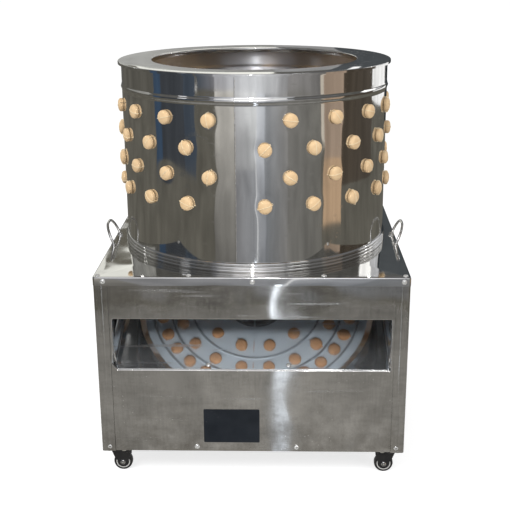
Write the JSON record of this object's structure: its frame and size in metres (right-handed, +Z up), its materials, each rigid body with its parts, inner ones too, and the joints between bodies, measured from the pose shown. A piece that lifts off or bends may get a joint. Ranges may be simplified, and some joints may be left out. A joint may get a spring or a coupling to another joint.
{
  "type": "poultry plucker",
  "caption": "Drum poultry plucker: steel drum lined with rubber fingers over a belt-driven finger plate, on a square base with a front feather outlet and swivel casters.",
  "frame": {"origin": "on the floor, under the axis of the drum and the middle of the base", "axes": "+Z up along the drum axis, -Y towards the feather outlet at the front, +X to the right seen from the front"},
  "size_m": [0.5833, 0.5612, 0.7365],
  "materials": {
    "mirror_steel": "mirror-polished stainless sheet",
    "satin_steel": "satin stainless sheet with handling marks",
    "chute_steel": "polished stainless sheet",
    "plate_steel": "polished stainless plate",
    "finger_rubber": "tan moulded rubber",
    "frame_steel": "grey primer on welded steel",
    "cast_housing": "cast iron",
    "bearing_steel": "ground steel",
    "motor_paint": "blue-grey motor enamel",
    "black_rubber": "black rubber",
    "bright_hardware": "bright stainless",
    "zinc_bolts": "zinc plated",
    "rating_plate": "bare dark enamel plate",
    "switch_grey": "grey moulded plastic",
    "gland_black": "black nylon",
    "green_button": "green moulded plastic",
    "red_button": "red moulded plastic",
    "caster_black": "black enamel",
    "caster_tread": "black nylon wheel"
  },
  "bodies": {
    "base": {"front_panel": "satin_steel", "rear_panel": "satin_steel", "left_panel": "satin_steel", "right_panel": "satin_steel", "top_cover": "mirror_steel", "bottom_frame": "frame_steel", "corner_posts": "frame_steel", "drum_shell": "mirror_steel", "foot_ring": "mirror_steel", "rim_ring": "mirror_steel", "wall_fingers_row_1": "finger_rubber", "wall_fingers_row_2": "finger_rubber", "wall_fingers_row_3": "finger_rubber", "wall_fingers_row_4": "finger_rubber", "chute": "chute_steel", "chute_screws": "bright_hardware", "shaft_guard": "chute_steel", "bearing_beams": "frame_steel", "motor_beams": "frame_steel", "bearing_housing": "cast_housing", "bearings": "bearing_steel", "shaft_seal": "black_rubber", "motor_plate": "frame_steel", "motor_body": "motor_paint", "motor_fan_cover": "motor_paint", "motor_terminal_box": "motor_paint", "drive_bolts": "zinc_bolts", "drive_belt": "black_rubber", "handle_left": "bright_hardware", "handle_right": "bright_hardware", "cover_screws": "bright_hardware", "skirt_screws": "bright_hardware", "panel_screws": "bright_hardware", "label_plate": "rating_plate", "switch_box": "switch_grey", "cable_gland": "gland_black", "caster_plates": "caster_black", "caster_bolts": "zinc_bolts"},
    "turntable": {"finger_plate": "plate_steel", "plate_fingers_inner": "finger_rubber", "plate_fingers_middle": "finger_rubber", "plate_fingers_outer": "finger_rubber", "plate_hub": "cast_housing", "hub_bolts": "zinc_bolts", "hub_nut": "bright_hardware", "main_shaft": "bearing_steel", "driven_pulley": "cast_housing", "pulley_bolt": "zinc_bolts"},
    "rotor": {"motor_shaft": "bearing_steel", "motor_pulley": "cast_housing"},
    "start": {"start_button": "green_button"},
    "stop": {"stop_button": "red_button"},
    "fork_front_left": {"caster_fork_front_left": "caster_black"},
    "wheel_front_left": {"caster_wheel_front_left": "caster_tread"},
    "fork_front_right": {"caster_fork_front_right": "caster_black"},
    "wheel_front_right": {"caster_wheel_front_right": "caster_tread"},
    "fork_rear_left": {"caster_fork_rear_left": "caster_black"},
    "wheel_rear_left": {"caster_wheel_rear_left": "caster_tread"},
    "fork_rear_right": {"caster_fork_rear_right": "caster_black"},
    "wheel_rear_right": {"caster_wheel_rear_right": "caster_tread"}
  },
  "joints": [
    {"name": "plate_spin", "type": "hinge", "parent": "base", "child": "turntable", "pos_m": [0, 0, 0.24], "axis": [0, 0, 1], "continuous": true},
    {"name": "motor_spin", "type": "hinge", "parent": "base", "child": "rotor", "pos_m": [0, 0.175, 0.11], "axis": [0, 0, 1], "continuous": true},
    {"name": "start_press", "type": "slide", "parent": "base", "child": "start", "axis": [-1, 0, 0], "range_m": [0, 0.003], "stiffness_N_per_m": 400},
    {"name": "stop_press", "type": "slide", "parent": "base", "child": "stop", "axis": [-1, 0, 0], "range_m": [0, 0.003], "stiffness_N_per_m": 400},
    {"name": "swivel_front_left", "type": "hinge", "parent": "base", "child": "fork_front_left", "pos_m": [-0.2535, -0.251, 0.045], "axis": [0, 0, 1], "continuous": true},
    {"name": "roll_front_left", "type": "hinge", "parent": "fork_front_left", "child": "wheel_front_left", "pos_m": [-0.2435, -0.251, 0.0175], "axis": [0, 1, 0], "continuous": true},
    {"name": "swivel_front_right", "type": "hinge", "parent": "base", "child": "fork_front_right", "pos_m": [0.2535, -0.251, 0.045], "axis": [0, 0, 1], "continuous": true},
    {"name": "roll_front_right", "type": "hinge", "parent": "fork_front_right", "child": "wheel_front_right", "pos_m": [0.2435, -0.251, 0.0175], "axis": [0, 1, 0], "continuous": true},
    {"name": "swivel_rear_left", "type": "hinge", "parent": "base", "child": "fork_rear_left", "pos_m": [-0.2535, 0.251, 0.045], "axis": [0, 0, 1], "continuous": true},
    {"name": "roll_rear_left", "type": "hinge", "parent": "fork_rear_left", "child": "wheel_rear_left", "pos_m": [-0.2435, 0.251, 0.0175], "axis": [0, 1, 0], "continuous": true},
    {"name": "swivel_rear_right", "type": "hinge", "parent": "base", "child": "fork_rear_right", "pos_m": [0.2535, 0.251, 0.045], "axis": [0, 0, 1], "continuous": true},
    {"name": "roll_rear_right", "type": "hinge", "parent": "fork_rear_right", "child": "wheel_rear_right", "pos_m": [0.2435, 0.251, 0.0175], "axis": [0, 1, 0], "continuous": true}
  ],
  "couplings": [
    {"joint": "motor_spin", "follows": "plate_spin", "ratio": 3.745}
  ]
}
